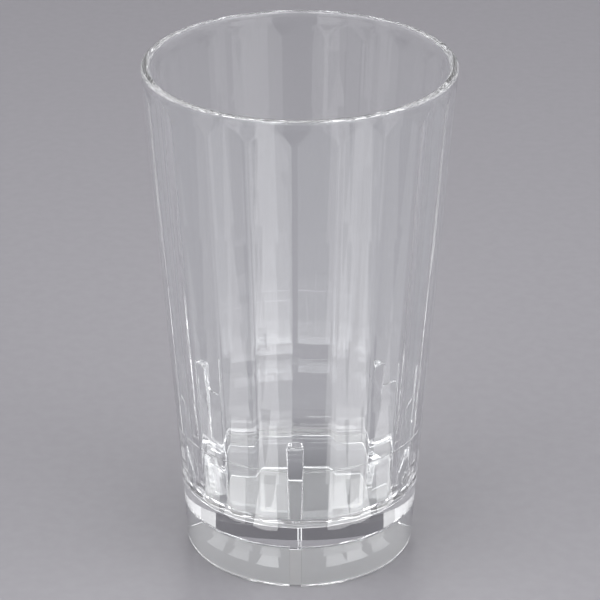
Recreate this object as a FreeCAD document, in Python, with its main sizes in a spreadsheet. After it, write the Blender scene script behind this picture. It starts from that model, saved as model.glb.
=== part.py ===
import FreeCAD, Part
import math
import os
import Sketcher

# Stackable clear tumbler, moulded in one piece. The origin is the middle of the
# ring it stands on, +Z is up, and -Y is the side of the first rib and its notch.

DEG_FULL = 360
SLACK = 0.01

document = FreeCAD.newDocument("tumbler")
sheet = document.addObject("Spreadsheet::Sheet", "Sizes")

SIZES = {
    # outside
    "cup_height": 145.6,
    "foot_radius": 32.8,
    "mouth_radius": 43.0,
    "rim_round": 0.6,
    "foot_bevel": 0.5,
    # wall and floor
    "mouth_wall": 2.0,
    "stack_wall": 2.7,
    "floor_height": 17.5,
    "floor_thickness": 5.0,
    "floor_round": 6.0,
    # foot below the floor
    "foot_wall": 2.6,
    "foot_draft": 0.5,
    # well at the bottom of the inside, a small step thicker than the wall above
    "well_height": 38.0,
    "well_step": 0.3,
    "well_wall": 3.05,
    # flat facets down the inside and their rounded corners
    "facet_count": 21,
    "facet_depth": 0.55,
    "facet_bite": 0.4,
    "corner_round": 8.0,
    # plain ring under the mouth: how far it and the facets end below the rim
    "ring_drop": 9.6,
    "facet_drop": 3.1,
    # ribs inside that the foot of the next tumbler stands on
    "rib_count": 3,
    "rib_radius": 30.6,
    "rib_reach": 3.0,
    "rib_top": 46.5,
    "rib_top_width": 4.6,
    "rib_foot_width": 3.3,
    "rib_root": 1.0,
    "rib_round": 0.4,
    # drain notches through the foot, one under each rib
    "notch_width": 3.3,
    "notch_height": 13.0,
    "notch_reach": 5.0,
}
for row, (name, value) in enumerate(SIZES.items(), start=1):
    sheet.set(f"A{row}", name)
    sheet.set(f"B{row}", str(value))
    sheet.setAlias(f"B{row}", name)
document.recompute()


def cell(name):
    """The number in one cell of the sheet."""
    return float(getattr(sheet, name))


# How far the outer wall leans out for each millimetre of height
LEAN = "(Sizes.mouth_radius - Sizes.foot_radius) / Sizes.cup_height"
lean = (cell("mouth_radius") - cell("foot_radius")) / cell("cup_height")


def outside(height):
    """Radius of the outer wall."""
    return cell("foot_radius") + lean * height


def outside_formula(height):
    """The same radius as a formula of the sheet."""
    return f"(Sizes.foot_radius + {LEAN} * {height})"


well_height = cell("well_height")
floor_height = cell("floor_height")
facet_top = cell("cup_height") - cell("facet_drop")
ring_bottom = cell("cup_height") - cell("ring_drop")
depth = cell("facet_depth")
bite = cell("facet_bite")
stack_radius = outside(well_height) - cell("stack_wall")
mouth_inside = cell("mouth_radius") - cell("mouth_wall")
wall_lean = (mouth_inside - stack_radius) / (cell("cup_height") - well_height)
recess_height = floor_height - cell("floor_thickness")
recess_radius = cell("foot_radius") - cell("foot_wall")

STACK_RADIUS = f"({outside_formula('Sizes.well_height')} - Sizes.stack_wall)"
MOUTH_INSIDE = "(Sizes.mouth_radius - Sizes.mouth_wall)"
WALL_LEAN = f"({MOUTH_INSIDE} - {STACK_RADIUS}) / (Sizes.cup_height - Sizes.well_height)"
FACET_TOP = "(Sizes.cup_height - Sizes.facet_drop)"
RING_BOTTOM = "(Sizes.cup_height - Sizes.ring_drop)"
RECESS_HEIGHT = "Sizes.floor_height - Sizes.floor_thickness"
RECESS_RADIUS = "Sizes.foot_radius - Sizes.foot_wall"
SLAB_WIDTH = "2 * Sizes.mouth_radius * tan(180 / Sizes.facet_count)"


def plain_wall(height):
    """Radius of the plain round wall that the facets stand on."""
    return stack_radius + wall_lean * (height - well_height)


def plain_wall_formula(height):
    """The same radius as a formula of the sheet."""
    return f"({STACK_RADIUS} + {WALL_LEAN} * ({height} - Sizes.well_height))"


tumbler = document.addObject("PartDesign::Body", "Tumbler")
tumbler.Label = "tumbler"


def plane_of(role):
    """The body's origin plane or axis with this role."""
    return next(item for item in tumbler.Origin.OriginFeatures if item.Role == role)


def outline(name, role, points):
    """A sketch of straight sides on an origin plane, its corners bound to the sheet.

    Each point is (start x, start y, formula for x, formula for y). A formula of
    None holds the corner on the sketch's axis.
    """
    sketch = tumbler.newObject("Sketcher::SketchObject", name)
    sketch.AttachmentSupport = [(plane_of(role), "")]
    sketch.MapMode = "FlatFace"
    count = len(points)
    for index in range(count):
        start = FreeCAD.Vector(points[index][0], points[index][1], 0)
        end_point = points[(index + 1) % count]
        end = FreeCAD.Vector(end_point[0], end_point[1], 0)
        sketch.addGeometry(Part.LineSegment(start, end), False)
    for index in range(count):
        sketch.addConstraint(Sketcher.Constraint("Coincident", index, 2, (index + 1) % count, 1))
    for index, (x, y, x_formula, y_formula) in enumerate(points):
        for kind, start, formula in (("DistanceX", x, x_formula), ("DistanceY", y, y_formula)):
            if formula is None:
                axis = -2 if kind == "DistanceX" else -1
                sketch.addConstraint(Sketcher.Constraint("PointOnObject", index, 1, axis))
                continue
            number = sketch.addConstraint(Sketcher.Constraint(kind, -1, 1, index, 1, start))
            sketch.setExpression(f"Constraints[{number}]", formula)
    document.recompute()
    return sketch


def turned(name, profile):
    """Turn a half section round the axis and add it."""
    feature = tumbler.newObject("PartDesign::Revolution", name)
    feature.Profile = profile
    feature.ReferenceAxis = (profile, ["V_Axis"])
    feature.Angle = DEG_FULL
    document.recompute()
    return feature


def raised(name, profile, length, midplane=False):
    """Raise a profile by a length that follows a sheet formula."""
    feature = tumbler.newObject("PartDesign::Pad", name)
    feature.Profile = profile
    feature.Midplane = midplane
    feature.setExpression("Length", length)
    document.recompute()
    return feature


def around(name, original, count):
    """Repeat a feature evenly round the axis, as often as one cell says."""
    feature = tumbler.newObject("PartDesign::PolarPattern", name)
    feature.Originals = [original]
    feature.Axis = (plane_of("Z_Axis"), [""])
    feature.Angle = DEG_FULL
    feature.setExpression("Occurrences", f"Sizes.{count}")
    tumbler.Tip = feature
    document.recompute()
    return feature


def rounded(name, base, edges, size):
    """Round some edges of a feature by the radius held in one cell."""
    feature = tumbler.newObject("PartDesign::Fillet", name)
    feature.Base = (base, edges)
    feature.setExpression("Radius", f"Sizes.{size}")
    tumbler.Tip = feature
    document.recompute()
    return feature


def edges_where(shape, kind, wanted):
    """Names of the edges of one kind of curve for which wanted(curve, heights, radii) holds."""
    names = []
    for number, edge in enumerate(shape.Edges, start=1):
        if not isinstance(edge.Curve, kind):
            continue
        heights = sorted(vertex.Z for vertex in edge.Vertexes)
        radii = sorted(math.hypot(vertex.X, vertex.Y) for vertex in edge.Vertexes)
        if wanted(edge.Curve, heights, radii):
            names.append(f"Edge{number}")
    return names


# Half section of the turned form: wall, mouth, floor and hollow foot
section = outline("Section", "XZ_Plane", [
    (cell("foot_radius"), 0, "Sizes.foot_radius", None),
    (cell("mouth_radius"), cell("cup_height"), "Sizes.mouth_radius", "Sizes.cup_height"),
    (mouth_inside, cell("cup_height"), MOUTH_INSIDE, "Sizes.cup_height"),
    (plain_wall(floor_height), floor_height, plain_wall_formula("Sizes.floor_height"), "Sizes.floor_height"),
    (0, floor_height, None, "Sizes.floor_height"),
    (0, recess_height, None, RECESS_HEIGHT),
    (recess_radius - cell("foot_draft"), recess_height, f"{RECESS_RADIUS} - Sizes.foot_draft", RECESS_HEIGHT),
    (recess_radius, 0, RECESS_RADIUS, None),
])
shell = turned("Shell", section)


def slab(name, top, top_formula, inner_low, inner_high, inner_low_formula, inner_high_formula):
    """Side view of one flat facet at +Y: a thin slab from the floor up, let into the wall.

    The facets are odd in number, so a corner between two of them faces -Y.
    """
    return outline(name, "YZ_Plane", [
        (inner_low, floor_height, inner_low_formula, "Sizes.floor_height"),
        (inner_high, top, inner_high_formula, top_formula),
        (plain_wall(top) + bite, top, f"{plain_wall_formula(top_formula)} + Sizes.facet_bite", top_formula),
        (plain_wall(floor_height) + bite, floor_height,
         f"{plain_wall_formula('Sizes.floor_height')} + Sizes.facet_bite", "Sizes.floor_height"),
    ])


def corner_edges(shape, top):
    """Names of the upright edges between neighbouring facets that end at this height."""
    return edges_where(shape, Part.Line, lambda curve, heights, radii: (
        abs(heights[-1] - top) < SLACK and heights[0] < floor_height + SLACK
        and radii[0] < plain_wall(heights[0]) - SLACK))


# Flat facets over the whole height of the inside
facet_profile = slab(
    "FacetProfile", facet_top, FACET_TOP,
    plain_wall(floor_height) - depth, plain_wall(facet_top) - depth,
    f"{plain_wall_formula('Sizes.floor_height')} - Sizes.facet_depth",
    f"{plain_wall_formula(FACET_TOP)} - Sizes.facet_depth")
facets = around("Facets", raised("Facet", facet_profile, SLAB_WIDTH, midplane=True), "facet_count")
corners = rounded("FacetCorners", facets, corner_edges(facets.Shape, facet_top), "corner_round")

# The well's thicker facets, which end in a narrow ledge, and the round at the floor
well_profile = slab(
    "WellProfile", well_height, "Sizes.well_height",
    outside(floor_height) - cell("well_wall") - depth, stack_radius - cell("well_step") - depth,
    f"{outside_formula('Sizes.floor_height')} - Sizes.well_wall - Sizes.facet_depth",
    f"{STACK_RADIUS} - Sizes.well_step - Sizes.facet_depth")
well = around("WellFacets", raised("WellFacet", well_profile, SLAB_WIDTH, midplane=True), "facet_count")
floor_edges = edges_where(well.Shape, Part.Line, lambda curve, heights, radii: (
    abs(heights[0] - floor_height) < SLACK and abs(heights[-1] - floor_height) < SLACK))
floor_round = rounded("FloorRound", well, floor_edges, "floor_round")

# Plain ring under the mouth. It covers the upper ends of the facets, which leaves
# each one an arched end.
ring_outline = outline("RingOutline", "XZ_Plane", [
    (plain_wall(ring_bottom), ring_bottom, plain_wall_formula(RING_BOTTOM), RING_BOTTOM),
    (plain_wall(facet_top) - depth, facet_top,
     f"{plain_wall_formula(FACET_TOP)} - Sizes.facet_depth", FACET_TOP),
    (mouth_inside - depth, cell("cup_height"), f"{MOUTH_INSIDE} - Sizes.facet_depth", "Sizes.cup_height"),
    (mouth_inside + bite, cell("cup_height"), f"{MOUTH_INSIDE} + Sizes.facet_bite", "Sizes.cup_height"),
    (plain_wall(ring_bottom) + bite, ring_bottom,
     f"{plain_wall_formula(RING_BOTTOM)} + Sizes.facet_bite", RING_BOTTOM),
])
ring = turned("Ring", ring_outline)
rim_edges = edges_where(ring.Shape, Part.Circle, lambda curve, heights, radii: (
    abs(curve.Center.z - cell("cup_height")) < SLACK))
rim = rounded("RimRound", ring, rim_edges, "rim_round")

# Rib on the inner wall at -Y. Its face is upright, so it stands out further from
# the leaning wall towards its top, and it is wider there too.
foot_half = cell("rib_foot_width") / 2
top_half = cell("rib_top_width") / 2
rib_bottom = floor_height - cell("rib_root")
rib_outline = outline("RibOutline", "XZ_Plane", [
    (-foot_half, rib_bottom, "-Sizes.rib_foot_width / 2", "Sizes.floor_height - Sizes.rib_root"),
    (foot_half, rib_bottom, "Sizes.rib_foot_width / 2", "Sizes.floor_height - Sizes.rib_root"),
    (top_half, cell("rib_top"), "Sizes.rib_top_width / 2", "Sizes.rib_top"),
    (-top_half, cell("rib_top"), "-Sizes.rib_top_width / 2", "Sizes.rib_top"),
])
rib_outline.setExpression(".AttachmentOffset.Base.z", "Sizes.rib_radius")
ribs = around("Ribs", raised("Rib", rib_outline, "Sizes.rib_reach"), "rib_count")
rib_corner = math.hypot(cell("rib_radius"), top_half)
rib_edges = edges_where(ribs.Shape, Part.Line, lambda curve, heights, radii: (
    radii[0] > cell("rib_radius") - SLACK and radii[-1] < rib_corner + SLACK
    and heights[-1] > cell("rib_top") - SLACK))
rib_round = rounded("RibRound", ribs, rib_edges, "rib_round")

# Drain notch through the foot at -Y
notch_half = cell("notch_width") / 2
notch_outline = outline("NotchOutline", "XZ_Plane", [
    (-notch_half, -cell("foot_bevel"), "-Sizes.notch_width / 2", "-Sizes.foot_bevel"),
    (notch_half, -cell("foot_bevel"), "Sizes.notch_width / 2", "-Sizes.foot_bevel"),
    (notch_half, cell("notch_height"), "Sizes.notch_width / 2", "Sizes.notch_height"),
    (-notch_half, cell("notch_height"), "-Sizes.notch_width / 2", "Sizes.notch_height"),
])
notch_outline.setExpression(".AttachmentOffset.Base.z", "Sizes.foot_radius - Sizes.notch_reach")
uncut = tumbler.Shape.Volume
notch = tumbler.newObject("PartDesign::Pocket", "Notch")
notch.Profile = notch_outline
notch.Type = "Length"
notch.Reversed = True
notch.setExpression("Length", "2 * Sizes.notch_reach")
document.recompute()
if notch.Shape.Volume > uncut - cell("notch_width") * cell("foot_wall"):
    raise SystemExit("the notch cuts nothing")
notches = around("Notches", notch, "rib_count")

foot_edges = edges_where(notches.Shape, Part.Circle, lambda curve, heights, radii: (
    abs(curve.Center.z) < SLACK and curve.Radius > recess_radius - SLACK))
foot_bevel = tumbler.newObject("PartDesign::Chamfer", "FootBevel")
foot_bevel.Base = (notches, foot_edges)
foot_bevel.setExpression("Size", "Sizes.foot_bevel")
tumbler.Tip = foot_bevel
document.recompute()

failed = [item.Name for item in document.Objects if set(item.State) & {"Invalid", "Error"}]
shape = tumbler.Shape
if failed or shape.isNull() or not shape.isValid():
    raise SystemExit(f"not built: {failed}")
os.makedirs("parts", exist_ok=True)
shape.exportStep(f"parts/{tumbler.Label}.step")
print(tumbler.Label, "volume cm3", round(shape.Volume / 1000, 2), "faces", len(shape.Faces),
      "solids", len(shape.Solids))
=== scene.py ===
"""Studio scene of a clear, faceted, stackable plastic tumbler on a pale grey table.

The tumbler is one moulded piece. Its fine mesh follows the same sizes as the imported
solid: a smooth round outside, 21 flat facets with rounded corners inside, a small
ledge at the top of the well, three stacking ribs and three drain notches.
"""

import logging
import math
from dataclasses import dataclass
from enum import Enum
from typing import Callable

import bmesh
import bpy
from mathutils import Matrix, Vector

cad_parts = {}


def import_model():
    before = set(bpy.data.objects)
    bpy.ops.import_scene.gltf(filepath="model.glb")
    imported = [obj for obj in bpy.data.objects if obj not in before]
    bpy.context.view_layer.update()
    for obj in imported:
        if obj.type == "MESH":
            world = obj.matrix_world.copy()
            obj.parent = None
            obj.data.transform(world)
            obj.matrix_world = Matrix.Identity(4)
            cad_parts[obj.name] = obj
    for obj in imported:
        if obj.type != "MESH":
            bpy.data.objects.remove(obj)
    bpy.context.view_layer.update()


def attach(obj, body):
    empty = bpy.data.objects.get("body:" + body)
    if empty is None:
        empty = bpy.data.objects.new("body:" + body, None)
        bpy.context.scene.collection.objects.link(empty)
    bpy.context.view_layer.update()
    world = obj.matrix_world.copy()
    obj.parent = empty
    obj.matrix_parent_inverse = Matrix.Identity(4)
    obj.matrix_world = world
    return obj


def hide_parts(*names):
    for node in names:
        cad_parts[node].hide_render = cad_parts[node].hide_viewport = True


LOG = logging.getLogger("tumbler")
MM = 0.001
TURN = 2 * math.pi
QUARTER = math.pi / 2

Points = list[tuple[float, float]]
Ring = Callable[[float], tuple[float, float]]


class Cut(Enum):
    """How a helper solid changes the tumbler."""

    ADD = "UNION"
    TAKE_AWAY = "DIFFERENCE"


def node(tree: bpy.types.NodeTree, kind: str, place: tuple[float, float],
         **values: object) -> bpy.types.Node:
    """Add a node to a tree and fill its plain sockets.

    Args:
        tree: The node tree.
        kind: The node's type name.
        place: Where it lies in the editor.
        **values: Socket names, with underscores for spaces, and their values.

    Returns:
        The new node.
    """
    made = tree.nodes.new(kind)
    made.location = place
    for name, value in values.items():
        made.inputs[name.replace("_", " ")].default_value = value
    return made


def link_object(name: str, data: bpy.types.ID) -> bpy.types.Object:
    """Put a mesh, lamp or camera into the scene.

    Args:
        name: The object's name.
        data: The mesh, lamp or camera data.

    Returns:
        The new object.
    """
    thing = bpy.data.objects.new(name, data)
    bpy.context.scene.collection.objects.link(thing)
    return thing


def mesh_from(build: bmesh.types.BMesh, name: str) -> bpy.types.Mesh:
    """Turn a closed bmesh into a mesh with its normals outward, and free it.

    Args:
        build: The finished bmesh.
        name: The mesh's name.

    Returns:
        The new mesh.
    """
    bmesh.ops.recalc_face_normals(build, faces=build.faces)
    mesh = bpy.data.meshes.new(name)
    build.to_mesh(mesh)
    build.free()
    return mesh


def quarter_turns(first: int, steps: int) -> list[float]:
    """List the angles of equal steps over a quarter of a circle, both ends included.

    Args:
        first: Number of quarters before it.
        steps: Number of equal steps.

    Returns:
        The angles in radians.
    """
    return [QUARTER * (first + step / steps) for step in range(steps + 1)]


def around(distance: float, angle: float, height: float) -> tuple[float, float, float]:
    """Find a place round the tumbler's axis.

    Args:
        distance: How far it is from the axis.
        angle: Angle from the tumbler's front at -Y towards +X, in radians.
        height: How far it is above the table.

    Returns:
        The place as x, y and z.
    """
    return distance * math.sin(angle), -distance * math.cos(angle), height


@dataclass(frozen=True)
class FacetRing:
    """The regular polygon, with rounded corners, that the inside has in plan."""

    count: int = 21
    corner_round: float = 8.0
    least_round: float = 0.5

    @property
    def half_angle(self) -> float:
        """Half of the angle that one facet covers, in radians."""
        return math.pi / self.count

    def radius(self, apothem: float, offset: float, corner: float | None = None) -> float:
        """Find the distance from the axis to the polygon.

        Args:
            apothem: Distance from the axis to the middle of each side, in mm.
            offset: Angle from the middle of the nearest side, in radians.
            corner: Radius of the rounded corners, or None for the usual one.

        Returns:
            The radius in mm.
        """
        corner = self.corner_round if corner is None else corner
        offset = abs(offset)
        tangent = math.atan((apothem - corner) * math.tan(self.half_angle) / apothem)
        if offset <= tangent:
            return apothem / math.cos(offset)
        centre = (apothem - corner) / math.cos(self.half_angle)
        turn = self.half_angle - offset
        return centre * math.cos(turn) + math.sqrt(corner ** 2 - (centre * math.sin(turn)) ** 2)


@dataclass(frozen=True)
class PlasticFinish:
    """Clear, polished, colourless moulded plastic with faint handling marks."""

    name: str = "clear_plastic"
    tint: tuple[float, float, float] = (0.980, 0.990, 0.993)
    refraction: float = 1.57
    scuff: float = 0.06
    scuff_scale: float = 900.0
    scuff_detail: float = 6.0
    scuff_contrast: float = 0.7
    scuff_from: float = 0.62
    scuff_to: float = 0.78
    wave_scale: float = 28.0
    wave_detail: float = 1.0
    wave_contrast: float = 0.4
    wave_height: float = 0.02

    def marks_group(self) -> bpy.types.ShaderNodeTree:
        """Build the node group of moulding waves and handling marks.

        Returns:
            A group with the inputs Scale, Wave and Scuff and the outputs Height and
            Roughness, which both change over the surface.
        """
        group = bpy.data.node_groups.new("MouldedMarks", "ShaderNodeTree")
        for socket in ("Scale", "Wave", "Scuff"):
            group.interface.new_socket(socket, in_out="INPUT", socket_type="NodeSocketFloat")
        for socket in ("Height", "Roughness"):
            group.interface.new_socket(socket, in_out="OUTPUT", socket_type="NodeSocketFloat")
        entry = group.nodes.new("NodeGroupInput")
        leave = group.nodes.new("NodeGroupOutput")
        place = node(group, "ShaderNodeTexCoord", (-900, 0))
        wave = node(group, "ShaderNodeTexNoise", (-500, 200),
                    Detail=self.wave_detail, Roughness=self.wave_contrast)
        group.links.new(place.outputs["Object"], wave.inputs["Vector"])
        group.links.new(entry.outputs["Scale"], wave.inputs["Scale"])
        tall = node(group, "ShaderNodeMath", (-250, 200))
        tall.operation = "MULTIPLY"
        group.links.new(wave.outputs["Fac"], tall.inputs[0])
        group.links.new(entry.outputs["Wave"], tall.inputs[1])
        group.links.new(tall.outputs[0], leave.inputs["Height"])
        speck = node(group, "ShaderNodeTexNoise", (-500, -150), Scale=self.scuff_scale,
                     Detail=self.scuff_detail, Roughness=self.scuff_contrast)
        group.links.new(place.outputs["Object"], speck.inputs["Vector"])
        edge = node(group, "ShaderNodeValToRGB", (-250, -150))
        edge.color_ramp.elements[0].position = self.scuff_from
        edge.color_ramp.elements[1].position = self.scuff_to
        group.links.new(speck.outputs["Fac"], edge.inputs["Fac"])
        worn = node(group, "ShaderNodeMath", (50, -150))
        worn.operation = "MULTIPLY"
        group.links.new(edge.outputs["Color"], worn.inputs[0])
        group.links.new(entry.outputs["Scuff"], worn.inputs[1])
        group.links.new(worn.outputs[0], leave.inputs["Roughness"])
        return group

    def build(self) -> bpy.types.Material:
        """Make the material.

        Returns:
            Clear plastic whose surface waves and wears by the marks group.
        """
        material = bpy.data.materials.new(self.name)
        material.use_nodes = True
        tree = material.node_tree
        shader = tree.nodes["Principled BSDF"]
        shader.inputs["Base Color"].default_value = (*self.tint, 1.0)
        shader.inputs["Metallic"].default_value = 0.0
        shader.inputs["IOR"].default_value = self.refraction
        shader.inputs["Transmission Weight"].default_value = 1.0
        marks = tree.nodes.new("ShaderNodeGroup")
        marks.node_tree = self.marks_group()
        marks.location = (-600, 0)
        marks.inputs["Scale"].default_value = self.wave_scale
        marks.inputs["Wave"].default_value = self.wave_height
        marks.inputs["Scuff"].default_value = self.scuff
        tree.links.new(marks.outputs["Roughness"], shader.inputs["Roughness"])
        bump = node(tree, "ShaderNodeBump", (-300, -200), Strength=1.0, Distance=MM)
        tree.links.new(marks.outputs["Height"], bump.inputs["Height"])
        tree.links.new(bump.outputs["Normal"], shader.inputs["Normal"])
        return material


@dataclass
class Tumbler:
    """The moulded tumbler. All sizes are in mm, in the part's own frame.

    The shell is a closed run of rings: up the outside, over the rim, down the facets,
    across the floor and back through the recess. Names that end in rings or steps say
    how many of them a stretch or a round gets. The floor's flat rings lie at the radii
    of floor_grid, and the outer wall's rings at wall_shares of the height. Edges that
    bend by more than sharp_from, in degrees, stay sharp.
    """

    facets: FacetRing
    finish: PlasticFinish
    height: float = 145.6
    foot_radius: float = 32.8
    mouth_radius: float = 43.0
    rim_round: float = 0.9
    foot_round: float = 0.6
    mouth_wall: float = 2.0
    stack_wall: float = 2.7
    floor_height: float = 17.5
    floor_thickness: float = 5.0
    floor_round: float = 6.0
    foot_wall: float = 2.6
    foot_draft: float = 0.5
    recess_round: float = 1.0
    floor_grid: tuple[float, ...] = (0.4, 3.0, 9.0, 18.0)
    recess_edge: float = 26.0
    well_height: float = 38.0
    well_step: float = 0.3
    well_wall: float = 3.05
    ledge_fall: float = 0.3
    facet_depth: float = 0.55
    ring_bottom: float = 136.0
    facet_top: float = 142.5
    rib_count: int = 3
    rib_radius: float = 30.6
    rib_reach: float = 3.0
    rib_top: float = 46.5
    rib_top_width: float = 4.6
    rib_foot_width: float = 3.3
    rib_root: float = 1.0
    rib_round: float = 0.4
    rib_corner: float = 1.0
    notch_width: float = 3.3
    notch_height: float = 13.0
    notch_past_outside: float = 3.0
    notch_past_inside: float = 1.5
    notch_below: float = 2.0
    columns: int = 36
    wall_shares: tuple[float, ...] = (0.01, 0.12, 0.3, 0.5, 0.7, 0.9, 0.98)
    ring_margin: float = 0.4
    facet_margin: float = 0.2
    ledge_margin: float = 0.25
    mouth_rings: int = 3
    arch_rings: int = 24
    facet_rings: int = 10
    ledge_rings: int = 6
    well_rings: int = 5
    edge_steps: int = 8
    floor_steps: int = 12
    recess_steps: int = 6
    rib_corner_steps: int = 6
    rib_edge_steps: int = 4
    sharp_from: float = 7.0

    @property
    def lean(self) -> float:
        """How far the outer wall leans out for each mm of height."""
        return (self.mouth_radius - self.foot_radius) / self.height

    def outside(self, z: float) -> float:
        """Radius of the outer wall at a height."""
        return self.foot_radius + self.lean * z

    @property
    def stack_radius(self) -> float:
        """Radius of the plain round wall at the top of the well."""
        return self.outside(self.well_height) - self.stack_wall

    def plain_wall(self, z: float) -> float:
        """Find the radius of the plain round wall that the facets stand on.

        Args:
            z: Height in mm.

        Returns:
            The radius in mm.
        """
        mouth = self.mouth_radius - self.mouth_wall
        slope = (mouth - self.stack_radius) / (self.height - self.well_height)
        return self.stack_radius + slope * (z - self.well_height)

    def apothem(self, z: float) -> float:
        """Find the distance from the axis to the middle of a facet.

        Args:
            z: Height in mm.

        Returns:
            The distance in mm. It falls back by well_step over the ledge.
        """
        if z >= self.well_height:
            return self.plain_wall(z) - self.facet_depth
        low = self.outside(self.floor_height) - self.well_wall
        high = self.stack_radius - self.well_step
        share = (z - self.floor_height) / (self.well_height - self.floor_height)
        well = low + (high - low) * share - self.facet_depth
        above = self.plain_wall(z) - self.facet_depth
        fall = min(1.0, (self.well_height - z) / self.ledge_fall)
        return above + (well - above) * fall

    def ring_radius(self, z: float) -> float:
        """Find the radius of the plain ring under the mouth.

        Args:
            z: Height in mm, from ring_bottom up.

        Returns:
            The radius in mm.
        """
        low = self.plain_wall(self.ring_bottom)
        middle = self.plain_wall(self.facet_top) - self.facet_depth
        if z <= self.facet_top:
            share = (z - self.ring_bottom) / (self.facet_top - self.ring_bottom)
            return low + (middle - low) * share
        top = self.mouth_radius - self.mouth_wall - self.facet_depth
        share = (z - self.facet_top) / (self.height - self.facet_top)
        return middle + (top - middle) * share

    def inside(self, z: float, offset: float) -> float:
        """Inner radius at a height and at an angle from the middle of a facet."""
        flat = self.facets.radius(self.apothem(z), offset)
        return flat if z < self.ring_bottom else min(flat, self.ring_radius(z))

    def outer_rings(self) -> list[Ring]:
        """List the rings of the outside from under the foot up over the rim.

        Returns:
            Functions that give (radius, height) for an angle from a facet's middle.
        """
        foot = self.foot_round
        middle = self.foot_radius - foot
        turns = quarter_turns(0, self.edge_steps)[:-1]
        points: Points = [(middle + foot * math.sin(turn), foot * (1 - math.cos(turn))) for turn in turns]
        points += [(self.outside(self.height * share), self.height * share) for share in self.wall_shares]
        rim = self.rim_round
        centre = self.height - rim
        middle = self.outside(centre) - rim
        for turn in quarter_turns(0, self.edge_steps):
            points.append((middle + rim * math.cos(turn), centre + rim * math.sin(turn)))
        middle = self.mouth_radius - self.mouth_wall - self.facet_depth + rim
        for turn in quarter_turns(1, self.edge_steps)[1:]:
            points.append((middle + rim * math.cos(turn), centre + rim * math.sin(turn)))
        return [lambda offset, point=point: point for point in points]

    def inner_heights(self) -> list[float]:
        """List the heights of the inner wall's rings.

        Returns:
            The heights from under the rim down to the floor's round.
        """
        spans = (
            (self.height - self.rim_round - self.ring_margin, self.mouth_rings),
            (self.facet_top + self.facet_margin, self.arch_rings),
            (self.ring_bottom - self.ring_margin, self.facet_rings),
            (self.well_height + self.ledge_margin, self.ledge_rings),
            (self.well_height - self.ledge_fall - self.ledge_margin, self.well_rings),
            (self.floor_height + self.floor_round, 0),
        )
        heights: list[float] = []
        for (start, count), (stop, _) in zip(spans, spans[1:]):
            heights.extend(start + (stop - start) * step / count for step in range(count))
        return heights

    def inner_rings(self) -> list[Ring]:
        """List the rings of the inside from under the rim down to the edge of the floor.

        Returns:
            Functions that give (radius, height) for an angle from a facet's middle.
        """
        rings: list[Ring] = [lambda offset, z=z: (self.inside(z, offset), z) for z in self.inner_heights()]
        for turn in quarter_turns(0, self.floor_steps):
            inset = self.floor_round * (1 - math.cos(turn))
            z = self.floor_height + self.floor_round * (1 - math.sin(turn))

            def bend(offset: float, inset: float = inset, z: float = z) -> tuple[float, float]:
                """The round between wall and floor."""
                corner = max(self.facets.corner_round - inset, self.facets.least_round)
                return self.facets.radius(self.apothem(z) - inset, offset, corner), z

            rings.append(bend)
        return rings

    def floor_rings(self) -> list[Ring]:
        """List the rings of the floor, of the recess under it and of the inside of the foot.

        Returns:
            Functions that give (radius, height) for an angle from a facet's middle.
        """
        under = self.floor_height - self.floor_thickness
        wall = self.foot_radius - self.foot_wall
        points: Points = [(radius, self.floor_height) for radius in reversed(self.floor_grid)]
        points += [(radius, under) for radius in (*self.floor_grid, self.recess_edge)]
        bend = self.recess_round
        middle = wall - self.foot_draft - bend
        for turn in quarter_turns(0, self.recess_steps):
            points.append((middle + bend * math.sin(turn), under - bend + bend * math.cos(turn)))
        foot = self.foot_round
        for turn in quarter_turns(0, self.recess_steps):
            points.append((wall + foot - foot * math.cos(turn), foot - foot * math.sin(turn)))
        return [lambda offset, point=point: point for point in points]

    def shell_mesh(self) -> bpy.types.Mesh:
        """Build the shell from its rings.

        Returns:
            A closed mesh without ribs and notches.
        """
        pitch = TURN / self.facets.count
        angles: Points = []
        for facet in range(self.facets.count):
            for column in range(self.columns):
                offset = pitch * (column / self.columns - 0.5)
                angles.append((pitch * (facet + 0.5) + offset, offset))
        build = bmesh.new()
        grid = []
        for ring in self.outer_rings() + self.inner_rings() + self.floor_rings():
            row = []
            for angle, offset in angles:
                radius, z = ring(offset)
                row.append(build.verts.new(around(radius * MM, angle, z * MM)))
            grid.append(row)
        count = len(angles)
        for low, high in zip(grid, grid[1:] + grid[:1]):
            for index in range(count):
                after = (index + 1) % count
                build.faces.new((low[index], low[after], high[after], high[index]))
        return mesh_from(build, "tumbler_shell")

    def rib_mesh(self) -> bpy.types.Mesh:
        """Build one stacking rib at -Y.

        Returns:
            A closed mesh with its root in the wall and in the floor.
        """
        top = self.rib_top
        half_top = self.rib_top_width / 2
        half_foot = self.rib_foot_width / 2
        corner = self.rib_corner
        outline: Points = []
        for side, quarter in ((1, 0), (-1, 1)):
            middle = side * (half_top - corner)
            for turn in quarter_turns(quarter, self.rib_corner_steps):
                outline.append((middle + corner * math.cos(turn), top - corner + corner * math.sin(turn)))
        root = self.floor_height - self.rib_root
        outline += [(-half_foot, root), (half_foot, root)]
        build = bmesh.new()
        bend = self.rib_round
        layers = []
        layer_points: Points = [(self.rib_radius + self.rib_reach, 0.0)]
        for turn in quarter_turns(0, self.rib_edge_steps):
            layer_points.append((self.rib_radius + bend * (1 - math.sin(turn)), bend * (1 - math.cos(turn))))
        for depth, inset in layer_points:
            row = []
            for x, z in outline:
                lower = inset if z > self.floor_height else 0.0
                narrow = x - math.copysign(inset, x)
                row.append(build.verts.new((narrow * MM, -depth * MM, (z - lower) * MM)))
            layers.append(row)
        for back, front in zip(layers, layers[1:]):
            for index in range(len(outline)):
                after = (index + 1) % len(outline)
                build.faces.new((back[index], back[after], front[after], front[index]))
        build.faces.new(list(reversed(layers[0])))
        build.faces.new(layers[-1])
        return mesh_from(build, "rib_helper")

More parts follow.
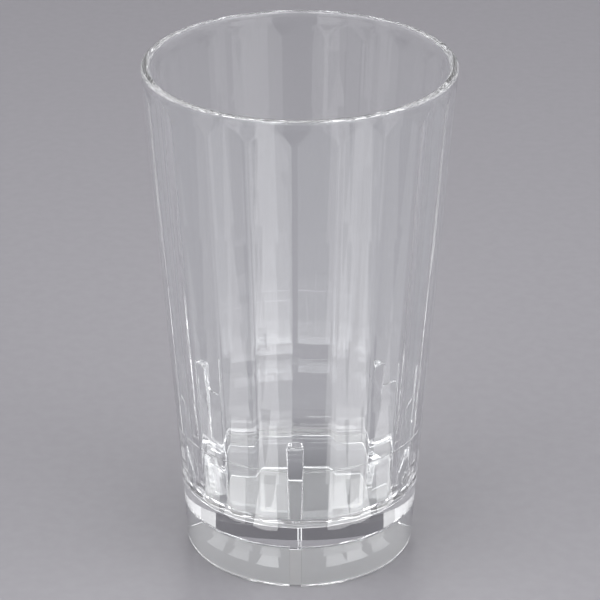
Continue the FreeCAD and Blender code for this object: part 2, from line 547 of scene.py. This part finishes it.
    def notch_mesh(self) -> bpy.types.Mesh:
        """Build the block that cuts one drain notch at -Y.

        Returns:
            A closed mesh that reaches past the foot's wall on both sides.
        """
        build = bmesh.new()
        bmesh.ops.create_cube(build, size=1.0)
        outer = self.foot_radius + self.notch_past_outside
        inner = self.foot_radius - self.foot_wall - self.foot_draft - self.notch_past_inside
        size = Vector((self.notch_width, outer - inner, self.notch_height + self.notch_below)) * MM
        middle = Vector((0.0, -(outer + inner) / 2, (self.notch_height - self.notch_below) / 2)) * MM
        matrix = Matrix.Translation(middle) @ Matrix.Diagonal((*size, 1.0))
        bmesh.ops.transform(build, matrix=matrix, verts=build.verts)
        return mesh_from(build, "notch_helper")

    def combine(self, piece: bpy.types.Object, mesh: bpy.types.Mesh, how: Cut) -> None:
        """Add or take away a helper mesh at each of the ribs' places, and drop the helper.

        Args:
            piece: The object that is changed.
            mesh: The helper's closed mesh, at -Y.
            how: Whether it is added or taken away.
        """
        for place in range(self.rib_count):
            helper = link_object(f"helper_{place}", mesh)
            helper.rotation_euler = (0.0, 0.0, TURN / self.rib_count * place)
            bpy.context.view_layer.update()
            change = piece.modifiers.new("change", "BOOLEAN")
            change.object = helper
            change.operation = how.value
            change.solver = "EXACT"
            graph = bpy.context.evaluated_depsgraph_get()
            made = bpy.data.meshes.new_from_object(piece.evaluated_get(graph))
            piece.modifiers.clear()
            piece.data = made
            bpy.data.objects.remove(helper)

    def build(self) -> bpy.types.Object:
        """Make the tumbler and dress it.

        Returns:
            The finished piece, with its finish as its only material.
        """
        piece = link_object("tumbler_clear", self.shell_mesh())
        self.combine(piece, self.rib_mesh(), Cut.ADD)
        self.combine(piece, self.notch_mesh(), Cut.TAKE_AWAY)
        mesh = piece.data
        mesh.name = "tumbler_clear"
        mesh.polygons.foreach_set("use_smooth", [True] * len(mesh.polygons))
        mesh.set_sharp_from_angle(angle=math.radians(self.sharp_from))
        mesh.materials.clear()
        mesh.materials.append(self.finish.build())
        return piece


@dataclass
class GreyTable:
    """The plain pale grey paper that the tumbler stands on. Lengths are in metres."""

    colour: tuple[float, float, float] = (0.325, 0.318, 0.338)
    grain: float = 0.02
    grain_scale: float = 260.0
    grain_detail: float = 4.0
    grain_from: float = 0.35
    grain_to: float = 0.65
    roughness: float = 0.3
    gloss: float = 0.45
    reach: float = 3.0
    bend_from: float = 1.2
    bend_radius: float = 1.0
    bend_steps: int = 10

    def material(self) -> bpy.types.Material:
        """Make the paper's material.

        Returns:
            Smooth paper with a faint grain.
        """
        made = bpy.data.materials.new("grey_paper")
        made.use_nodes = True
        tree = made.node_tree
        shader = tree.nodes["Principled BSDF"]
        shader.inputs["Roughness"].default_value = self.roughness
        shader.inputs["Specular IOR Level"].default_value = self.gloss
        place = node(tree, "ShaderNodeTexCoord", (-900, 0))
        noise = node(tree, "ShaderNodeTexNoise", (-700, 0), Scale=self.grain_scale, Detail=self.grain_detail)
        tree.links.new(place.outputs["Object"], noise.inputs["Vector"])
        ramp = node(tree, "ShaderNodeValToRGB", (-450, 0))
        ends = ((1 - self.grain, self.grain_from), (1 + self.grain, self.grain_to))
        for element, (share, position) in zip(ramp.color_ramp.elements, ends):
            element.color = (*(part * share for part in self.colour), 1.0)
            element.position = position
        tree.links.new(noise.outputs["Fac"], ramp.inputs["Fac"])
        tree.links.new(ramp.outputs["Color"], shader.inputs["Base Color"])
        return made

    def build(self) -> bpy.types.Object:
        """Lay the paper flat, and curve it up far behind the tumbler.

        Returns:
            The paper's object.
        """
        bend = self.bend_radius
        profile: Points = [(-self.reach, 0.0)]
        for turn in quarter_turns(0, self.bend_steps):
            profile.append((self.bend_from + bend * math.sin(turn), bend * (1 - math.cos(turn))))
        profile.append((self.bend_from + bend, self.reach))
        build = bmesh.new()
        rows = [[build.verts.new((x, y, z)) for x in (-self.reach, self.reach)] for y, z in profile]
        for low, high in zip(rows, rows[1:]):
            build.faces.new((low[0], low[1], high[1], high[0]))
        mesh = bpy.data.meshes.new("table_paper")
        build.to_mesh(mesh)
        build.free()
        mesh.polygons.foreach_set("use_smooth", [True] * len(mesh.polygons))
        mesh.materials.append(self.material())
        return link_object("table_paper", mesh)


def place_lamp(name: str, width: float, length: float, radiance: float) -> bpy.types.Object:
    """Make a rectangular lamp that the camera can't see.

    Args:
        name: The lamp's name.
        width: Its width in metres.
        length: Its length in metres.
        radiance: How bright its face is, where 1 is white.

    Returns:
        The lamp's object, at the origin and facing down.
    """
    data = bpy.data.lights.new(name, "AREA")
    data.shape = "RECTANGLE"
    data.size = width
    data.size_y = length
    data.energy = radiance * math.pi * width * length
    lamp = link_object(name, data)
    lamp.visible_camera = False
    return lamp


@dataclass(frozen=True)
class SoftBox:
    """A soft box that hangs beside or above the tumbler and faces it.

    Sizes are in metres. The bearing is in degrees round the tumbler from the camera's
    side, and positive to its right. Elevation is the height of the box's middle.
    """

    name: str
    bearing: float
    distance: float
    elevation: float
    width: float
    height: float
    radiance: float
    aim: tuple[float, float, float] = (0.0, 0.0, 0.06)

    def build(self, turn: float) -> bpy.types.Object:
        """Hang the lamp up.

        Args:
            turn: Angle of the whole studio about the tumbler's axis, in radians.

        Returns:
            The lamp's object.
        """
        lamp = place_lamp(self.name, self.width, self.height, self.radiance)
        angle = math.radians(self.bearing) + turn
        lamp.location = around(self.distance, angle, self.elevation)
        facing = Vector(self.aim) - lamp.location
        lamp.rotation_euler = facing.to_track_quat("-Z", "Y").to_euler()
        return lamp


@dataclass(frozen=True)
class LightTrail:
    """A streak of light on the table, such as clear plastic throws, made of flat lamps.

    The streak runs straight away from the tumbler, from start to end, and widens on its
    way by the angle spread. Its radiance falls from near to far over the length fade.
    Lengths are in metres and angles in degrees.
    """

    name: str
    bearing: float
    strength: float
    spread: float = 15.0
    lift: float = 0.0015
    start: float = 0.055
    end: float = 1.1
    near: float = 5.2
    far: float = 1.0
    fade: float = 0.042
    stretches: int = 9

    def build(self, turn: float) -> None:
        """Lay the lamps down, facing up.

        Args:
            turn: Angle of the whole studio about the tumbler's axis, in radians.
        """
        angle = math.radians(self.bearing) + turn
        growth = (self.end / self.start) ** (1 / self.stretches)
        for step in range(self.stretches):
            inner = self.start * growth ** step
            outer = inner * growth
            middle = (inner + outer) / 2
            width = 2 * middle * math.tan(math.radians(self.spread) / 2)
            remains = math.exp((self.start - middle) / self.fade)
            radiance = self.strength * (self.far + (self.near - self.far) * remains)
            lamp = place_lamp(f"{self.name}_{step + 1}", width, outer - inner, radiance)
            lamp.location = around(middle, angle, self.lift)
            lamp.rotation_euler = (math.pi, 0.0, angle)


@dataclass(frozen=True)
class FootGlow:
    """The light that the plastic lets through to the table under its foot: one flat round lamp."""

    name: str = "foot_glow"
    diameter: float = 0.0644
    lift: float = 0.0005
    radiance: float = 0.16

    def build(self) -> bpy.types.Object:
        """Lay the lamp down, facing up, where the camera sees it through the notches.

        Returns:
            The lamp's object.
        """
        lamp = place_lamp(self.name, self.diameter, self.diameter, self.radiance)
        lamp.data.shape = "DISK"
        lamp.visible_camera = True
        lamp.location.z = self.lift
        lamp.rotation_euler.x = math.pi
        return lamp


@dataclass
class PhotoCamera:
    """The camera of the photograph, turned about the tumbler's axis.

    Lengths are in metres, angles in degrees, and the focal length in pixels of the frame.
    """

    name: str = "photo_camera"
    turn: float = 2.1
    back: float = 0.65145
    up: float = 0.39216
    pitch: float = 26.0
    focal_pixels: float = 2574.0
    frame_pixels: float = 600.0
    centre_pixel: float = 299.7
    sensor_mm: float = 36.0
    clip_start: float = 0.01

    def build(self) -> bpy.types.Object:
        """Make the camera and let the scene use it.

        Returns:
            The camera's object.
        """
        data = bpy.data.cameras.new(self.name)
        data.sensor_width = self.sensor_mm
        data.lens = self.focal_pixels / self.frame_pixels * data.sensor_width
        data.shift_x = (self.frame_pixels / 2 - self.centre_pixel) / self.frame_pixels
        data.clip_start = self.clip_start
        camera = link_object(self.name, data)
        turn = math.radians(self.turn)
        camera.location = around(self.back, turn, self.up)
        camera.rotation_euler = (QUARTER - math.radians(self.pitch), 0.0, turn)
        bpy.context.scene.camera = camera
        return camera


@dataclass(frozen=True)
class Studio:
    """The even surround, the soft boxes and the light that the plastic throws on the table.

    The light is guided far down inside the wall, so it needs many bounces.
    """

    surround: tuple[float, float, float] = (0.475, 0.47, 0.495)
    light_bounces: int = 256
    boxes: tuple[SoftBox, ...] = (
        SoftBox("softbox_side_left", bearing=-100.0, distance=0.8, elevation=0.35,
                width=1.2, height=0.7, radiance=0.62),
        SoftBox("softbox_side_right", bearing=100.0, distance=0.8, elevation=0.35,
                width=1.2, height=0.7, radiance=0.66),
        SoftBox("softbox_back", bearing=180.0, distance=0.8, elevation=0.75,
                width=0.4, height=0.4, radiance=1.8),
        SoftBox("softbox_above", bearing=180.0, distance=0.05, elevation=1.1,
                width=0.45, height=0.45, radiance=3.2),
        SoftBox("softbox_top_left", bearing=-55.0, distance=0.55, elevation=0.9,
                width=0.7, height=0.7, radiance=2.2),
        SoftBox("softbox_top_right", bearing=55.0, distance=0.55, elevation=0.9,
                width=0.7, height=0.7, radiance=2.4),
    )
    glow: FootGlow = FootGlow()
    trails: tuple[LightTrail, ...] = (
        LightTrail("light_trail_1", bearing=-71.0, strength=0.45),
        LightTrail("light_trail_2", bearing=-48.0, strength=0.6),
        LightTrail("light_trail_3", bearing=-24.0, strength=1.0),
        LightTrail("light_trail_4", bearing=28.0, strength=0.8),
        LightTrail("light_trail_5", bearing=45.0, strength=0.9),
        LightTrail("light_trail_6", bearing=68.0, strength=0.5),
    )

    def build(self, turn: float) -> None:
        """Light the scene.

        Args:
            turn: Angle of the whole studio about the tumbler's axis, in radians.
        """
        world = bpy.data.worlds.new("white_tent")
        world.use_nodes = True
        world.node_tree.nodes["Background"].inputs["Color"].default_value = (*self.surround, 1.0)
        scene = bpy.context.scene
        scene.world = world
        scene.cycles.max_bounces = self.light_bounces
        scene.cycles.transmission_bounces = self.light_bounces
        scene.cycles.glossy_bounces = self.light_bounces
        for box in self.boxes:
            box.build(turn)
        self.glow.build()
        for trail in self.trails:
            trail.build(turn)


def main() -> None:
    """Build the tumbler, its table, the lights and the camera."""
    logging.basicConfig(level=logging.INFO, format="%(name)s: %(message)s")
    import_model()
    camera = PhotoCamera()
    camera.build()
    Studio().build(math.radians(camera.turn))
    table = GreyTable().build()
    piece = Tumbler(FacetRing(), PlasticFinish()).build()
    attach(piece, "root")
    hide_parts("tumbler")
    LOG.info("%s: %d faces", piece.name, len(piece.data.polygons))
    bpy.context.scene.view_settings.view_transform = "Standard"


if __name__ == "__main__":
    main()
